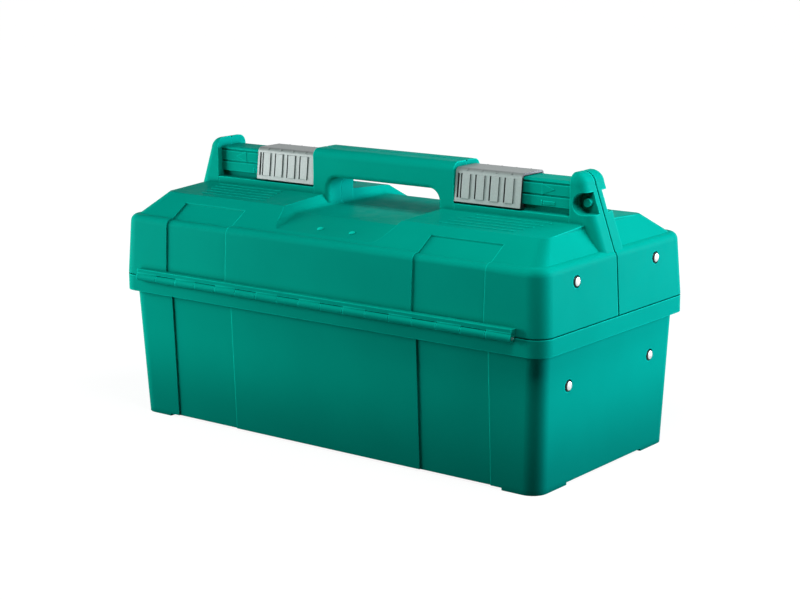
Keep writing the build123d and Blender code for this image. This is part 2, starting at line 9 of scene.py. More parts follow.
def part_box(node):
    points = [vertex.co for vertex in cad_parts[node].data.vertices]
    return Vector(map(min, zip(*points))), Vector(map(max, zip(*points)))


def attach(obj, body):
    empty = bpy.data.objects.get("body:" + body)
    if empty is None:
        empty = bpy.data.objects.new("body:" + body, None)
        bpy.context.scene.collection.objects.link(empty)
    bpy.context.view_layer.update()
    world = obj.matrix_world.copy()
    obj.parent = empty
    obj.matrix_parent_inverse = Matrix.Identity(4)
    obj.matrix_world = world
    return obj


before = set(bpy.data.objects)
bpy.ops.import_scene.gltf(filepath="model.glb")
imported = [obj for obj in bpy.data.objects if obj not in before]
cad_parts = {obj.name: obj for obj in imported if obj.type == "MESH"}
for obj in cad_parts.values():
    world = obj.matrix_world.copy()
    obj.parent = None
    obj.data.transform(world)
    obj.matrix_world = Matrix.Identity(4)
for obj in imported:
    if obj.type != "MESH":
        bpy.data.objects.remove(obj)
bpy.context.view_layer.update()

bl_info = {
    "name": "Toolbox with trays",
    "version": (1, 0, 0),
    "blender": (4, 5, 0),
    "location": "3D View > Sidebar > Toolbox",
    "description": "Finishes the moulded toolbox, adds its small mouldings and sets its studio stage",
    "category": "Object",
}

MM = 0.001

# Nearly all values of a noise texture lie between these
NOISE_LOW = 0.3
NOISE_HIGH = 0.7

# Rays cast at each point to soften an edge, and to find rubbed edges and creases
EDGE_SAMPLES = 6
CREASE_SAMPLES = 8

# Nodes of the frame by what they are made of
SHELL_NODES = (
    "base_tub", "base_front_knuckles", "base_rear_knuckles",
    "front_lid", "front_lid_knuckles", "rear_lid", "rear_lid_knuckles",
)
TRAY_NODES = ("front_tray", "rear_tray")
LATCH_NODES = ("left_latch", "right_latch")
STEEL_NODES = tuple(
    node for node in sorted(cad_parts)
    if node not in SHELL_NODES + TRAY_NODES + LATCH_NODES
)

# Rivets whose heads show, with the body that each group rides on
RIVET_BODIES = {"base_rivets": "base", "front_lid_rivets": "front_lid", "rear_lid_rivets": "rear_lid"}


def linear(hex_colour):
    """Turns an sRGB hex colour into the linear red, green and blue that a shader works in."""
    channels = (int(hex_colour[i:i + 2], 16) / 255 for i in (1, 3, 5))
    return tuple(c / 12.92 if c <= 0.04045 else ((c + 0.055) / 1.055) ** 2.4 for c in channels)


def rgba(colour):
    """Adds a full alpha to a colour."""
    return (*colour, 1.0)


def per_metre(size_mm):
    """Scale of a texture whose features are that many millimetres across."""
    return 1.0 / (size_mm * MM)


def add(tree, kind, inputs=None, **settings):
    """Adds a node with its settings. Each input, by name or number, takes a value or a link to a socket."""
    node = tree.nodes.new(kind)
    for name, value in settings.items():
        setattr(node, name, value)
    for key, value in (inputs or {}).items():
        if isinstance(value, bpy.types.NodeSocket):
            tree.links.new(value, node.inputs[key])
        else:
            node.inputs[key].default_value = value
    return node


class ToolboxFinishes(bpy.types.PropertyGroup):
    """Colours of the toolbox's materials"""
    shell: FloatVectorProperty(
        name="Shell", description="Green of the moulded tub and lids",
        subtype="COLOR", size=3, min=0, max=1, default=linear("#009c89"))
    # Painted highlight: this paler green is painted along outward edges and on the recess nubs
    shell_highlight: FloatVectorProperty(
        name="Shell edges", description="Paler green where edges are rubbed",
        subtype="COLOR", size=3, min=0, max=1, default=linear("#08d2bb"))
    # Painted shade: the latches' tops are painted darker grey than their skirts
    latch_top_shade: FloatVectorProperty(
        name="Latch tops", description="Grey of the sliding latches' tops, dulled by thumbs",
        subtype="COLOR", size=3, min=0, max=1, default=linear("#6c7573"))
    latch_skirt: FloatVectorProperty(
        name="Latch skirts", description="Paler grey of their skirts and grip pads",
        subtype="COLOR", size=3, min=0, max=1, default=linear("#9aa8a5"))
    # Painted shade: this near black is painted into the finger grooves and on the open ends
    latch_groove_shade: FloatVectorProperty(
        name="Latch grooves", description="Dirt in the finger grooves of the latches",
        subtype="COLOR", size=3, min=0, max=1, default=linear("#141a18"))
    tray: FloatVectorProperty(
        name="Trays", description="Charcoal of the two trays",
        subtype="COLOR", size=3, min=0, max=1, default=linear("#2a2d2e"))
    steel: FloatVectorProperty(
        name="Steel", description="Zinc plate on the rivet domes, pins and arms",
        subtype="COLOR", size=3, min=0, max=1, default=linear("#d4d6d4"))
    # Painted shade: the rivet heads round the domes are made near black
    rivet_rim_shade: FloatVectorProperty(
        name="Dull steel", description="Blackened plate on the crimped rims of the rivets",
        subtype="COLOR", size=3, min=0, max=1, default=linear("#2c3432"))


class ToolboxSizes(bpy.types.PropertyGroup):
    """Sizes of the small mouldings"""
    dome_height: FloatProperty(
        name="Rivet dome", description="Rise of the domed face of each rivet",
        unit="LENGTH", min=0, default=0.9 * MM)
    nub_radius: FloatProperty(
        name="Nub radius", description="Radius of the round nubs in the hand recess",
        unit="LENGTH", min=0, default=2.7 * MM)
    nub_height: FloatProperty(
        name="Nub height", description="Rise of those nubs",
        unit="LENGTH", min=0, default=1.3 * MM)
    latch_nub_radius: FloatProperty(
        name="Latch nub radius", description="Radius of the small nubs on the latches' shoulders",
        unit="LENGTH", min=0, default=1.3 * MM)
    latch_nub_height: FloatProperty(
        name="Latch nub height", description="Rise of those nubs",
        unit="LENGTH", min=0, default=0.5 * MM)
    detent_length: FloatProperty(
        name="Detent length", description="Length of the raised bar low on each rail",
        unit="LENGTH", min=0, default=10.5 * MM)
    detent_height: FloatProperty(
        name="Detent height", description="Height of that bar",
        unit="LENGTH", min=0, default=3.0 * MM)
    round_segments: IntProperty(
        name="Round segments", description="Faces round each dome and nub",
        min=8, max=64, default=32)


class ToolboxStage(bpy.types.PropertyGroup):
    """Camera, lamps and floor"""
    lens: FloatProperty(
        name="Lens", description="Focal length of the camera",
        unit="CAMERA", min=1, default=84.037)
    camera_place: FloatVectorProperty(
        name="Camera place", description="Where the camera stands",
        subtype="TRANSLATION", unit="LENGTH", size=3, default=(0.932653, -1.197060, 0.439345))
    camera_turn: FloatProperty(
        name="Camera turn", description="Turn of the camera round the vertical, from straight in front",
        subtype="ANGLE", default=radians(37.7932))
    camera_tilt: FloatProperty(
        name="Camera tilt", description="How far the camera looks down",
        subtype="ANGLE", default=radians(12.3469))
    camera_roll: FloatProperty(
        name="Camera roll", description="Turn of the picture in its own plane",
        subtype="ANGLE", default=radians(-0.4121))
    ambient: FloatProperty(
        name="Ambient", description="Strength of the even light from all round",
        min=0, default=0.02)
    rear_power: FloatProperty(
        name="Rear lamp", description="Power of the high softbox behind the right end",
        unit="POWER", min=0, default=0.8)
    side_power: FloatProperty(
        name="Side lamp", description="Power of the low softbox behind on the right",
        unit="POWER", min=0, default=54.0)
    left_power: FloatProperty(
        name="Left lamp", description="Power of the low softbox on the left",
        unit="POWER", min=0, default=14.0)
    top_power: FloatProperty(
        name="Top lamp", description="Power of the small softbox above the right end",
        unit="POWER", min=0, default=2.3)
    floor_half: FloatProperty(
        name="Floor half size", description="Half the side of the square floor",
        unit="LENGTH", min=1, default=6.0)


def principled(name, **inputs):
    """A new material with its Principled shader's plain values set by socket name, and its node tree."""
    material = bpy.data.materials.new(name)
    material.use_nodes = True
    tree = material.node_tree
    shader = tree.nodes["Principled BSDF"]
    for key, value in inputs.items():
        shader.inputs[key.replace("_", " ")].default_value = value
    return material, tree, shader


def moulded_polypropylene(name, green, highlight_green):
    """Polypropylene, injection moulded: an even satin green with a faint grain from the mould.

    Outward edges are painted paler as a highlight, creases are painted darker as shade, and painted shade
    deepens the green towards the floor.
    """
    tone_mm = 70
    tone_low, tone_high = 0.96, 1.03
    gloss_mm = 9
    rough_low, rough_high = 0.40, 0.52
    # The mould's spark grain is about 0.3 mm, drawn coarser so that it shows
    grain_mm = 1.1
    grain_depth = 0.05 * MM
    grain_strength = 0.12
    edge_round = 0.9 * MM
    highlight_reach = 0.9 * MM
    highlight_start, highlight_full, highlight_most = 0.97, 0.60, 0.8
    crease_reach = 7 * MM
    crease_full, crease_start, crease_shade = 0.25, 0.85, 0.42
    # Painted shade: the green is painted darker towards the floor, up to this height
    floor_shade_height = 80 * MM
    shade_at_floor = 0.60
    # Kept faint, because bright surroundings grey the green at low angles
    mirror_level = 0.003
    mirror_tint = linear("#60ffef")
    material, tree, shader = principled(name, IOR=1.49)
    shader.inputs["Specular IOR Level"].default_value = mirror_level
    shader.inputs["Specular Tint"].default_value = rgba(mirror_tint)
    place = add(tree, "ShaderNodeTexCoord").outputs["Object"]
    soft_edge = add(tree, "ShaderNodeBevel", {"Radius": edge_round}, samples=EDGE_SAMPLES).outputs["Normal"]
    # Rays cast into the wall are cut short beside an outward edge, and rays cast out of it in a crease
    into = add(tree, "ShaderNodeAmbientOcclusion", {
        "Distance": highlight_reach}, samples=CREASE_SAMPLES, inside=True, only_local=True).outputs["AO"]
    # Painted highlight: outward edges are painted paler green
    painted_highlight = add(tree, "ShaderNodeMapRange", {
        "Value": into, "From Min": highlight_start, "From Max": highlight_full, "To Max": highlight_most}).outputs["Result"]
    out = add(tree, "ShaderNodeAmbientOcclusion", {
        "Distance": crease_reach}, samples=CREASE_SAMPLES).outputs["AO"]
    # Painted shade: creases, corners and seams are painted darker
    painted_crease_shade = add(tree, "ShaderNodeMapRange", {
        "Value": out, "From Min": crease_full, "From Max": crease_start,
        "To Min": crease_shade, "To Max": 1.0}).outputs["Result"]
    tone = add(tree, "ShaderNodeTexNoise", {
        "Vector": place, "Scale": per_metre(tone_mm), "Detail": 2.0}).outputs["Fac"]
    shade = add(tree, "ShaderNodeMapRange", {
        "Value": tone, "From Min": NOISE_LOW, "From Max": NOISE_HIGH,
        "To Min": tone_low, "To Max": tone_high}).outputs["Result"]
    height = add(tree, "ShaderNodeSeparateXYZ", {0: place}).outputs["Z"]
    # Painted shade: darker towards the floor
    painted_foot_shade = add(tree, "ShaderNodeMapRange", {
        "Value": height, "From Min": 0, "From Max": floor_shade_height, "To Min": shade_at_floor, "To Max": 1.0},
        interpolation_type="SMOOTHSTEP").outputs["Result"]
    tone_and_foot_shade = add(tree, "ShaderNodeMath", {0: shade, 1: painted_foot_shade}, operation="MULTIPLY").outputs[0]
    skin_colour = add(tree, "ShaderNodeMix", {
        0: painted_highlight, 6: rgba(green), 7: rgba(highlight_green)}, data_type="RGBA").outputs[2]
    tone_and_painted_shade = add(tree, "ShaderNodeMath", {0: tone_and_foot_shade, 1: painted_crease_shade}, operation="MULTIPLY").outputs[0]
    colour = add(tree, "ShaderNodeMix", {
        0: 1.0, 6: skin_colour, 7: tone_and_painted_shade}, data_type="RGBA", blend_type="MULTIPLY").outputs[2]
    gloss = add(tree, "ShaderNodeTexNoise", {
        "Vector": place, "Scale": per_metre(gloss_mm), "Detail": 3.0}).outputs["Fac"]
    roughness = add(tree, "ShaderNodeMapRange", {
        "Value": gloss, "From Min": NOISE_LOW, "From Max": NOISE_HIGH,
        "To Min": rough_low, "To Max": rough_high}).outputs["Result"]
    grain = add(tree, "ShaderNodeTexNoise", {
        "Vector": place, "Scale": per_metre(grain_mm), "Detail": 2.0}).outputs["Fac"]
    skin = add(tree, "ShaderNodeBump", {
        "Height": grain, "Normal": soft_edge,
        "Strength": grain_strength, "Distance": grain_depth}).outputs["Normal"]
    tree.links.new(colour, shader.inputs["Base Color"])
    tree.links.new(roughness, shader.inputs["Roughness"])
    tree.links.new(skin, shader.inputs["Normal"])
    return material


def textured_abs(finishes):
    """ABS with a fine spark texture: a dry grey with a light speckle and paler skirts, with tops painted
    darker and grooves and open ends painted near black, as shade.
    """
    speckle_mm = 1.3
    speckle_low, speckle_high = 0.92, 1.05
    speckle_depth = 0.06 * MM
    speckle_strength = 0.15
    edge_round = 0.5 * MM
    # The skirts lean out by this much for each millimetre down, and pads and grooves step from them
    skirt_lean = 0.119
    pad_step = 0.8 * MM
    groove_steps = 1.5
    # A face that looks along the rail by more than this is one of the open ends
    end_facing = 0.9
    low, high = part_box(LATCH_NODES[0])
    pad_foot = low.z + 3.3 * MM
    pad_top = high.z - 4.4 * MM
    top_tone_from = high.z - 0.6 * MM
    skirt_tone_from = pad_top + 1.2 * MM
    pad_plane = high.y + skirt_lean * pad_foot
    material, tree, shader = principled("textured_abs", Roughness=0.42)
    place = add(tree, "ShaderNodeTexCoord").outputs["Object"]
    spot = add(tree, "ShaderNodeSeparateXYZ", {0: place}).outputs
    aside = add(tree, "ShaderNodeMath", {0: spot["Y"]}, operation="ABSOLUTE").outputs[0]
    upright = add(tree, "ShaderNodeMath", {
        0: spot["Z"], 1: skirt_lean, 2: aside}, operation="MULTIPLY_ADD").outputs[0]
    # Painted shade: darker grey on the tops, paler on the skirts
    skirt = add(tree, "ShaderNodeMapRange", {
        "Value": spot["Z"], "From Min": top_tone_from, "From Max": skirt_tone_from}).outputs["Result"]
    # Painted shade: grooves are found by how far the surface sits back
    sunk = add(tree, "ShaderNodeMath", {
        0: upright, 1: pad_plane - groove_steps * pad_step}, operation="LESS_THAN").outputs[0]
    below = add(tree, "ShaderNodeMath", {0: spot["Z"], 1: pad_top}, operation="LESS_THAN").outputs[0]
    groove_shade_mask = add(tree, "ShaderNodeMath", {0: sunk, 1: below}, operation="MULTIPLY").outputs[0]
    # The open ends are painted as dark as the grooves, as shade
    facing = add(tree, "ShaderNodeNewGeometry").outputs["True Normal"]
    flat = add(tree, "ShaderNodeSeparateXYZ", {0: facing}).outputs
    along = add(tree, "ShaderNodeMath", {0: flat["X"]}, operation="ABSOLUTE").outputs[0]
    mouth = add(tree, "ShaderNodeMath", {0: along, 1: end_facing}, operation="GREATER_THAN").outputs[0]
    painted_shade_mask = add(tree, "ShaderNodeMath", {0: groove_shade_mask, 1: mouth}, operation="MAXIMUM").outputs[0]
    speckle = add(tree, "ShaderNodeTexNoise", {
        "Vector": place, "Scale": per_metre(speckle_mm), "Detail": 3.0}).outputs["Fac"]
    shade = add(tree, "ShaderNodeMapRange", {
        "Value": speckle, "From Min": NOISE_LOW, "From Max": NOISE_HIGH,
        "To Min": speckle_low, "To Max": speckle_high}).outputs["Result"]
    grey = add(tree, "ShaderNodeMix", {
        0: skirt, 6: rgba(finishes.latch_top_shade), 7: rgba(finishes.latch_skirt)}, data_type="RGBA").outputs[2]
    grey_with_painted_shade = add(tree, "ShaderNodeMix", {
        0: painted_shade_mask, 6: grey, 7: rgba(finishes.latch_groove_shade)}, data_type="RGBA").outputs[2]
    colour = add(tree, "ShaderNodeMix", {
        0: 1.0, 6: grey_with_painted_shade, 7: shade}, data_type="RGBA", blend_type="MULTIPLY").outputs[2]
    soft_edge = add(tree, "ShaderNodeBevel", {"Radius": edge_round}, samples=EDGE_SAMPLES).outputs["Normal"]
    skin = add(tree, "ShaderNodeBump", {
        "Height": speckle, "Normal": soft_edge,
        "Strength": speckle_strength, "Distance": speckle_depth}).outputs["Normal"]
    tree.links.new(colour, shader.inputs["Base Color"])
    tree.links.new(skin, shader.inputs["Normal"])
    return material


def charcoal_polypropylene(finishes):
    """Polypropylene with carbon black, moulded matt: near black, with a dusty grain."""
    grain_mm = 1.5
    grain_low, grain_high = 0.85, 1.15
    grain_depth = 0.06 * MM
    grain_strength = 0.2
    material, tree, shader = principled("charcoal_polypropylene", Roughness=0.6)
    place = add(tree, "ShaderNodeTexCoord").outputs["Object"]
    grain = add(tree, "ShaderNodeTexNoise", {
        "Vector": place, "Scale": per_metre(grain_mm), "Detail": 3.0}).outputs["Fac"]
    shade = add(tree, "ShaderNodeMapRange", {
        "Value": grain, "From Min": NOISE_LOW, "From Max": NOISE_HIGH,
        "To Min": grain_low, "To Max": grain_high}).outputs["Result"]
    colour = add(tree, "ShaderNodeMix", {
        0: 1.0, 6: rgba(finishes.tray), 7: shade}, data_type="RGBA", blend_type="MULTIPLY").outputs[2]
    skin = add(tree, "ShaderNodeBump", {
        "Height": grain, "Strength": grain_strength, "Distance": grain_depth}).outputs["Normal"]
    tree.links.new(colour, shader.inputs["Base Color"])
    tree.links.new(skin, shader.inputs["Normal"])
    return material


def plated_steel(name, plate):
    """Steel with a thin plate in one colour, bright, or near black as painted shade: slightly cloudy and
    softly mirror-like.
    """
    cloud_mm = 3
    rough_low, rough_high = 0.20, 0.34
    material, tree, shader = principled(name, Metallic=1.0)
    place = add(tree, "ShaderNodeTexCoord").outputs["Object"]
    cloud = add(tree, "ShaderNodeTexNoise", {
        "Vector": place, "Scale": per_metre(cloud_mm), "Detail": 4.0}).outputs["Fac"]
    roughness = add(tree, "ShaderNodeMapRange", {
        "Value": cloud, "From Min": NOISE_LOW, "From Max": NOISE_HIGH,
        "To Min": rough_low, "To Max": rough_high}).outputs["Result"]
    shader.inputs["Base Color"].default_value = rgba(plate)
    tree.links.new(roughness, shader.inputs["Roughness"])
    return material


def finish_nodes(nodes, material):
    """Gives the material to every slot of those nodes of the frame."""
    for node in nodes:
        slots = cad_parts[node].data.materials
        slots.clear()
        slots.append(material)


def stud_tree(material):
    """Geometry nodes that set a low round dome on each point, along the point's own outward direction."""
    rings = 12
    tree = bpy.data.node_groups.new("low_domes", "GeometryNodeTree")
    ports = tree.interface
    ports.new_socket("Geometry", in_out="INPUT", socket_type="NodeSocketGeometry")
    for name in ("Radius", "Height"):
        ports.new_socket(name, in_out="INPUT", socket_type="NodeSocketFloat")
    ports.new_socket("Segments", in_out="INPUT", socket_type="NodeSocketInt")
    ports.new_socket("Geometry", in_out="OUTPUT", socket_type="NodeSocketGeometry")
    given = add(tree, "NodeGroupInput").outputs
    ball = add(tree, "GeometryNodeMeshUVSphere", {
        "Segments": given["Segments"], "Rings": rings, "Radius": 1.0}).outputs["Mesh"]
    place = add(tree, "GeometryNodeInputPosition").outputs[0]
    spot = add(tree, "ShaderNodeSeparateXYZ", {0: place}).outputs
    across = [add(tree, "ShaderNodeMath", {0: spot[i], 1: given["Radius"]}, operation="MULTIPLY").outputs[0]
              for i in (0, 1)]
    rise = add(tree, "ShaderNodeMath", {0: spot[2], 1: 0.0}, operation="MAXIMUM").outputs[0]
    up = add(tree, "ShaderNodeMath", {0: rise, 1: given["Height"]}, operation="MULTIPLY").outputs[0]
    low = add(tree, "ShaderNodeCombineXYZ", {0: across[0], 1: across[1], 2: up}).outputs[0]
    dome = add(tree, "GeometryNodeSetPosition", {"Geometry": ball, "Position": low}).outputs[0]
    outward = add(tree, "GeometryNodeInputNamedAttribute", {
        "Name": "outward"}, data_type="FLOAT_VECTOR").outputs[0]
    turn = add(tree, "FunctionNodeAlignRotationToVector", {"Vector": outward}, axis="Z").outputs[0]
    studs = add(tree, "GeometryNodeInstanceOnPoints", {
        "Points": given["Geometry"], "Instance": dome, "Rotation": turn}).outputs[0]
    real = add(tree, "GeometryNodeRealizeInstances", {"Geometry": studs}).outputs[0]
    smooth = add(tree, "GeometryNodeSetShadeSmooth", {"Geometry": real}).outputs[0]
    done = add(tree, "GeometryNodeSetMaterial", {"Geometry": smooth, "Material": material}).outputs[0]
    add(tree, "NodeGroupOutput", {"Geometry": done})
    return tree


def bar_tree(material):
    """Geometry nodes that set a block of one size on each point."""
    tree = bpy.data.node_groups.new("low_bars", "GeometryNodeTree")
    ports = tree.interface
    ports.new_socket("Geometry", in_out="INPUT", socket_type="NodeSocketGeometry")
    for name in ("Length", "Thickness", "Height"):
        ports.new_socket(name, in_out="INPUT", socket_type="NodeSocketFloat")
    ports.new_socket("Geometry", in_out="OUTPUT", socket_type="NodeSocketGeometry")
    given = add(tree, "NodeGroupInput").outputs
    size = add(tree, "ShaderNodeCombineXYZ", {
        0: given["Length"], 1: given["Thickness"], 2: given["Height"]}).outputs[0]
    block = add(tree, "GeometryNodeMeshCube", {"Size": size}).outputs["Mesh"]
    bars = add(tree, "GeometryNodeInstanceOnPoints", {
        "Points": given["Geometry"], "Instance": block}).outputs[0]
    real = add(tree, "GeometryNodeRealizeInstances", {"Geometry": bars}).outputs[0]
    smooth = add(tree, "GeometryNodeSetShadeSmooth", {"Geometry": real}).outputs[0]
    done = add(tree, "GeometryNodeSetMaterial", {"Geometry": smooth, "Material": material}).outputs[0]
    add(tree, "NodeGroupOutput", {"Geometry": done})
    return tree


def grow(name, tree, points, outward, body, slot, bevel=0, **inputs):
    """Runs a node tree on a cloud of points and leaves one plain mesh that rides on a body.

    Where bevel is given, its edges are rounded by that much.
    """
    bevel_segments = 3
    cloud = bpy.data.meshes.new(name)
    cloud.from_pydata(points, [], [])
    direction = cloud.attributes.new("outward", "FLOAT_VECTOR", "POINT")
    for item, vector in zip(direction.data, outward):
        item.vector = vector
    piece = bpy.data.objects.new(name, cloud)
    bpy.context.scene.collection.objects.link(piece)
    modifier = piece.modifiers.new("nodes", "NODES")
    modifier.node_group = tree
    for socket in tree.interface.items_tree:
        if socket.in_out == "INPUT" and socket.name in inputs:
            modifier[socket.identifier] = inputs[socket.name]
    if bevel:
        rounding = piece.modifiers.new("bevel", "BEVEL")
        rounding.width = bevel
        rounding.segments = bevel_segments
    evaluated = piece.evaluated_get(bpy.context.evaluated_depsgraph_get())
    mesh = bpy.data.meshes.new_from_object(evaluated)
    piece.modifiers.clear()
    piece.data = mesh
    bpy.data.meshes.remove(cloud)
    if not mesh.polygons:
        raise RuntimeError(f"{name} came out empty")
    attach(piece, body)


def surface(node):
    """The faces of a node of the frame, for rays to be cast at."""
    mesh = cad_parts[node].data
    corners = [vertex.co for vertex in mesh.vertices]
    return BVHTree.FromPolygons(corners, [tuple(face.vertices) for face in mesh.polygons])


def landings(node, starts, directions):
    """Where rays first meet a node, with the direction that the face looks in there."""
    faces = surface(node)
    spots = []
    normals = []
    for start, direction in zip(starts, directions):
        spot, normal = faces.ray_cast(Vector(start), Vector(direction))[:2]
        if spot is None:
            raise RuntimeError(f"a ray misses {node}")
        spots.append(spot)
        normals.append(normal)
    return spots, normals


def around(middle, turn, rise, distance):
    """A place that far from the middle, turned from straight in front and raised by those degrees."""
    swing = Matrix.Rotation(radians(turn), 3, "Z") @ Matrix.Rotation(-radians(rise), 3, "X")
    return middle + swing @ Vector((0, -distance, 0))


class TOOLBOX_OT_finish_shell(bpy.types.Operator):
    """Gives the tub, the lids and their hinge knuckles their moulded green"""
    bl_idname = "toolbox.finish_shell"
    bl_label = "Finish shell"

    def execute(self, context):
        finishes = context.scene.toolbox_finishes
        green = moulded_polypropylene("moulded_polypropylene", finishes.shell, finishes.shell_highlight)
        finish_nodes(SHELL_NODES, green)
        return {"FINISHED"}


class TOOLBOX_OT_add_recess_nubs(bpy.types.Operator):
    """Sets two round nubs on the slope of each hand recess"""
    bl_idname = "toolbox.add_recess_nubs"
    bl_label = "Add recess nubs"

    def execute(self, context):
        sizes = context.scene.toolbox_sizes
        painted_highlight = context.scene.toolbox_finishes.shell_highlight
        # Painted highlight: the nubs are made all in the paler highlight green
        tree = stud_tree(moulded_polypropylene("highlight_polypropylene", painted_highlight, painted_highlight))
        across = (-11.5 * MM, 21.1 * MM)
        from_split = 82.0 * MM
        above = 0.5
        for node, side in (("front_lid", -1), ("rear_lid", 1)):
            starts = [(x, side * from_split, above) for x in across]
            spots, normals = landings(node, starts, [(0, 0, -1)] * len(starts))
            grow(node.replace("lid", "recess_nubs"), tree, spots, normals, node, "shell",
                 Radius=sizes.nub_radius, Height=sizes.nub_height, Segments=sizes.round_segments)
        return {"FINISHED"}


class TOOLBOX_OT_add_hinge_webs(bpy.types.Operator):
    """Joins each lid's own hinge knuckles to the ledge above them"""
    bl_idname = "toolbox.add_hinge_webs"
    bl_label = "Add hinge webs"

    def execute(self, context):
        knuckle_count = 17
        knuckle_gap = 0.5 * MM
        barrel_radius = 3.2 * MM
        thickness = 1.4 * MM
        foot_rise = 1.0 * MM
        head_rise = barrel_radius + 0.9 * MM
        from_axis = 0.2 * MM
        bevel = 0.3 * MM
        tree = bar_tree(bpy.data.materials["moulded_polypropylene"])
        for lid, side in (("front_lid", -1), ("rear_lid", 1)):
            low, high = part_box(f"{lid}_knuckles")
            axis = sum(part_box(lid.replace("lid", "hinge_pin")), Vector()) / 2
            pitch = (high.x - low.x + knuckle_gap) / knuckle_count
            length = pitch - knuckle_gap
            y = axis.y + side * (from_axis + thickness / 2)
            z = axis.z + (foot_rise + head_rise) / 2
            # Every second knuckle belongs to the lid
            places = [(low.x + index * pitch + length / 2, y, z) for index in range(0, knuckle_count, 2)]
            grow(f"{lid}_hinge_webs", tree, places, [], lid, "shell", bevel,
                 Length=length, Thickness=thickness, Height=head_rise - foot_rise)
        return {"FINISHED"}


class TOOLBOX_OT_add_rail_detents(bpy.types.Operator):
    """Sets a tick and a detent bar low on both faces of each latch rail"""
    bl_idname = "toolbox.add_rail_detents"
    bl_label = "Add rail detents"

    def execute(self, context):
        sizes = context.scene.toolbox_sizes
        tick_places = (-144.0 * MM, 151.6 * MM)
        tick_width = 1.0 * MM
        tick_height = 4.2 * MM
        proud = 0.5 * MM
        sunk = 0.5 * MM
        middle = 205.6 * MM
        rail_half = 12.5 * MM
        bevel = 0.3 * MM
        tree = bar_tree(bpy.data.materials["moulded_polypropylene"])
        bars = {
            "rail_ticks": (0, tick_width, tick_height),
            "rail_detents": (2 * tick_width, sizes.detent_length, sizes.detent_height),
        }
        for name, (along, length, height) in bars.items():
            places = [(x + along + length / 2, side * (rail_half + (proud - sunk) / 2), middle)
                      for side in (-1, 1) for x in tick_places]
            grow(name, tree, places, [], "front_lid", "shell", bevel,
                 Length=length, Thickness=proud + sunk, Height=height)
        return {"FINISHED"}


class TOOLBOX_OT_finish_latches(bpy.types.Operator):
    """Gives the sliding latches their textured grey, and a small nub above each grip pad"""
    bl_idname = "toolbox.finish_latches"
    bl_label = "Finish latches"

    def execute(self, context):
        sizes = context.scene.toolbox_sizes
        material = textured_abs(context.scene.toolbox_finishes)
        finish_nodes(LATCH_NODES, material)
        tree = stud_tree(material)
        pad_count = 4
        pad_pitch = 13.8 * MM
        # A ray aimed down and inwards at this point meets the shoulder
        shoulder_out = 13.6 * MM
        shoulder_drop = 1.4 * MM
        far = 20 * MM
        for node in LATCH_NODES:
            low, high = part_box(node)
            first = (low.x + high.x) / 2 - pad_pitch * (pad_count - 1) / 2
            starts = []
            directions = []
            for side in (-1, 1):
                for index in range(pad_count):
                    x = first + index * pad_pitch
                    starts.append((x, side * (shoulder_out + far), high.z - shoulder_drop + far))
                    directions.append((0, -side, -1))
            spots, normals = landings(node, starts, directions)
            grow(f"{node}_nubs", tree, spots, normals, node, "latch",
                 Radius=sizes.latch_nub_radius, Height=sizes.latch_nub_height,
                 Segments=sizes.round_segments)
        return {"FINISHED"}


class TOOLBOX_OT_finish_trays(bpy.types.Operator):
    """Gives the two trays their matt charcoal"""
    bl_idname = "toolbox.finish_trays"
    bl_label = "Finish trays"

    def execute(self, context):
        finish_nodes(TRAY_NODES, charcoal_polypropylene(context.scene.toolbox_finishes))
        return {"FINISHED"}


class TOOLBOX_OT_finish_steel(bpy.types.Operator):
    """Plates the rivets, washers, pins and arms, and domes the rivet heads that show"""
    bl_idname = "toolbox.finish_steel"
    bl_label = "Finish steel"

    def execute(self, context):
        sizes = context.scene.toolbox_sizes
        finishes = context.scene.toolbox_finishes
        steel = plated_steel("zinc_plated_steel", finishes.steel)
        finish_nodes(STEEL_NODES, steel)
        # Painted shade: the rivet heads round the domes are made near black
        finish_nodes(RIVET_BODIES, plated_steel("shade_dark_steel", finishes.rivet_rim_shade))
        tree = stud_tree(steel)
        head_radius = 4.2 * MM
        dome_share = 0.82
        for node, body in RIVET_BODIES.items():
            low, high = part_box(node)
            height = (low.z + high.z) / 2
            rows = {round(y, 6) for y in (low.y + head_radius, high.y - head_radius)}
            points = [(x, y, height) for x in (low.x, high.x) for y in sorted(rows)]
            outward = [(1 if x > 0 else -1, 0, 0) for x, y, z in points]
            grow(node.replace("rivets", "rivet_domes"), tree, points, outward, body, "steel",
                 Radius=head_radius * dome_share, Height=sizes.dome_height, Segments=sizes.round_segments)
        return {"FINISHED"}


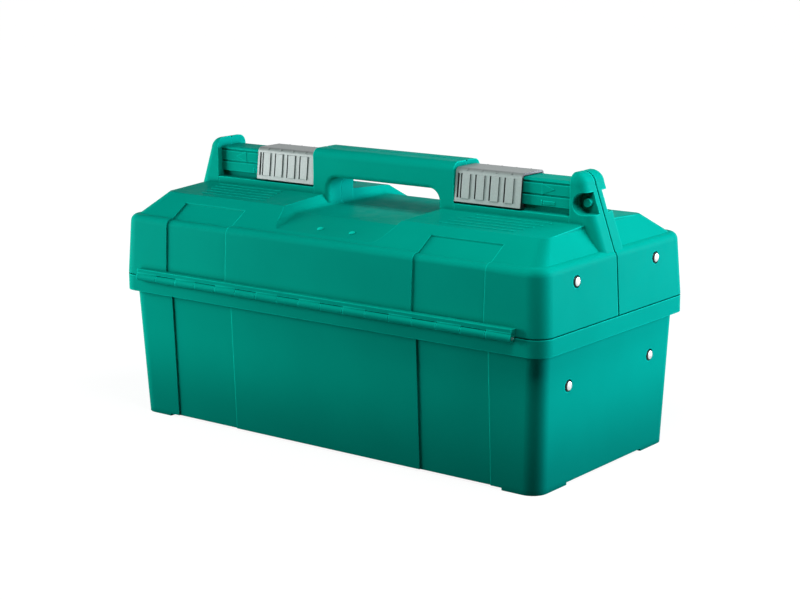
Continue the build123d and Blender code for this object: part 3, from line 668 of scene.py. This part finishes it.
class TOOLBOX_OT_set_stage(bpy.types.Operator):
    """Sets the white floor, the soft lamps and the camera"""
    bl_idname = "toolbox.set_stage"
    bl_label = "Set stage"

    def execute(self, context):
        stage = context.scene.toolbox_stage
        self.set_world(stage)
        self.set_floor(stage)
        self.set_lamps(stage)
        self.set_camera(stage)
        context.scene.view_settings.view_transform = "Standard"
        return {"FINISHED"}

    @staticmethod
    def seen(tree):
        """One where a camera, glossy or transmission ray looks, nothing where diffuse light does."""
        path = add(tree, "ShaderNodeLightPath").outputs
        shown = add(tree, "ShaderNodeMath", {
            0: path["Is Camera Ray"], 1: path["Is Glossy Ray"]}, operation="MAXIMUM").outputs[0]
        return add(tree, "ShaderNodeMath", {
            0: shown, 1: path["Is Transmission Ray"]}, operation="MAXIMUM").outputs[0]

    def set_world(self, stage):
        """White to look at, and faint as a light."""
        world = bpy.data.worlds.new("white_studio")
        world.use_nodes = True
        tree = world.node_tree
        strength = add(tree, "ShaderNodeMapRange", {
            "Value": self.seen(tree), "To Min": stage.ambient, "To Max": 1.0}).outputs["Result"]
        tree.links.new(strength, tree.nodes["Background"].inputs["Strength"])
        tree.nodes["Background"].inputs["Color"].default_value = rgba(linear("#ffffff"))
        bpy.context.scene.world = world

    def set_floor(self, stage):
        """White paper that shows the object's shadow."""
        half = stage.floor_half
        paper_grey = linear("#6c6c6c")
        # A little under white round the object, where the lamps make it up and the shadow shows
        dim_reach = 0.30
        white_reach = 0.90
        dim_white = 0.90
        mesh = bpy.data.meshes.new("floor")
        corners = [(-half, -half, 0), (half, -half, 0), (half, half, 0), (-half, half, 0)]
        mesh.from_pydata(corners, [], [(0, 1, 2, 3)])
        floor = bpy.data.objects.new("floor", mesh)
        bpy.context.scene.collection.objects.link(floor)
        material = bpy.data.materials.new("white_paper")
        material.use_nodes = True
        tree = material.node_tree
        tree.nodes.remove(tree.nodes["Principled BSDF"])
        paper = add(tree, "ShaderNodeBsdfDiffuse", {"Color": rgba(paper_grey)}).outputs[0]
        place = add(tree, "ShaderNodeTexCoord").outputs["Object"]
        away = add(tree, "ShaderNodeVectorMath", {0: place}, operation="LENGTH").outputs["Value"]
        white = add(tree, "ShaderNodeMapRange", {
            "Value": away, "From Min": dim_reach, "From Max": white_reach,
            "To Min": dim_white, "To Max": 1.0}).outputs["Result"]
        shown = add(tree, "ShaderNodeMath", {0: self.seen(tree), 1: white}, operation="MULTIPLY").outputs[0]
        glow = add(tree, "ShaderNodeEmission", {"Strength": shown}).outputs[0]
        both = add(tree, "ShaderNodeAddShader", {0: paper, 1: glow}).outputs[0]
        tree.links.new(both, tree.nodes["Material Output"].inputs["Surface"])
        mesh.materials.append(material)

    @staticmethod
    def set_lamps(stage):
        """Four softboxes, each by its place, what it is aimed at, its side, its colour and its power."""
        middle = Vector((0, 0, 0.11))
        right_slopes = Vector((0.15, -0.05, 0.17))
        above_right = Vector((0.33, -0.20, 0.62))
        behind_right = around(middle, turn=140, rise=30, distance=1.0)
        low_right = around(middle, turn=134, rise=6, distance=1.6)
        low_left = around(middle, turn=-60, rise=5, distance=1.0)
        plain = "#ffffff"
        cool = "#ebeeff"
        lamps = {
            "rear_softbox": (behind_right, middle, 0.6, cool, stage.rear_power),
            "side_softbox": (low_right, middle, 0.9, cool, stage.side_power),
            "left_softbox": (low_left, middle, 0.6, plain, stage.left_power),
            "top_softbox": (above_right, right_slopes, 0.25, plain, stage.top_power),
        }
        for name, (place, aim, side, colour, power) in lamps.items():
            lamp = bpy.data.lights.new(name, "AREA")
            lamp.size = side
            lamp.energy = power
            lamp.color = linear(colour)
            box = bpy.data.objects.new(name, lamp)
            turn = (aim - place).to_track_quat("-Z", "Y")
            box.matrix_world = Matrix.Translation(place) @ turn.to_matrix().to_4x4()
            box.visible_camera = False
            bpy.context.scene.collection.objects.link(box)

    @staticmethod
    def set_camera(stage):
        """A camera at the photograph's viewing angle."""
        lens = bpy.data.cameras.new("photo_view")
        lens.lens = stage.lens
        camera = bpy.data.objects.new("photo_view", lens)
        camera.matrix_world = (
            Matrix.Translation(stage.camera_place)
            @ Matrix.Rotation(stage.camera_turn, 4, "Z")
            @ Matrix.Rotation(radians(90) - stage.camera_tilt, 4, "X")
            @ Matrix.Rotation(stage.camera_roll, 4, "Z"))
        bpy.context.scene.collection.objects.link(camera)
        bpy.context.scene.camera = camera


OPERATORS = (
    TOOLBOX_OT_finish_shell,
    TOOLBOX_OT_add_recess_nubs,
    TOOLBOX_OT_add_hinge_webs,
    TOOLBOX_OT_add_rail_detents,
    TOOLBOX_OT_finish_latches,
    TOOLBOX_OT_finish_trays,
    TOOLBOX_OT_finish_steel,
    TOOLBOX_OT_set_stage,
)
SETTINGS = {
    "toolbox_finishes": ToolboxFinishes,
    "toolbox_sizes": ToolboxSizes,
    "toolbox_stage": ToolboxStage,
}


class TOOLBOX_PT_sidebar(bpy.types.Panel):
    """Lists the toolbox's settings and steps"""
    bl_idname = "TOOLBOX_PT_sidebar"
    bl_label = "Toolbox"
    bl_space_type = "VIEW_3D"
    bl_region_type = "UI"
    bl_category = "Toolbox"

    def draw(self, context):
        for name, group in SETTINGS.items():
            box = self.layout.box()
            for setting in group.__annotations__:
                box.prop(getattr(context.scene, name), setting)
        for operator in OPERATORS:
            self.layout.operator(operator.bl_idname)


def register():
    for cls in (*SETTINGS.values(), *OPERATORS, TOOLBOX_PT_sidebar):
        bpy.utils.register_class(cls)
    for name, group in SETTINGS.items():
        setattr(bpy.types.Scene, name, PointerProperty(type=group))


def unregister():
    for name in SETTINGS:
        delattr(bpy.types.Scene, name)
    for cls in reversed((*SETTINGS.values(), *OPERATORS, TOOLBOX_PT_sidebar)):
        bpy.utils.unregister_class(cls)


def main():
    register()
    bpy.ops.toolbox.finish_shell()
    bpy.ops.toolbox.add_recess_nubs()
    bpy.ops.toolbox.add_hinge_webs()
    bpy.ops.toolbox.add_rail_detents()
    bpy.ops.toolbox.finish_latches()
    bpy.ops.toolbox.finish_trays()
    bpy.ops.toolbox.finish_steel()
    bpy.ops.toolbox.set_stage()


if __name__ == "__main__":
    main()
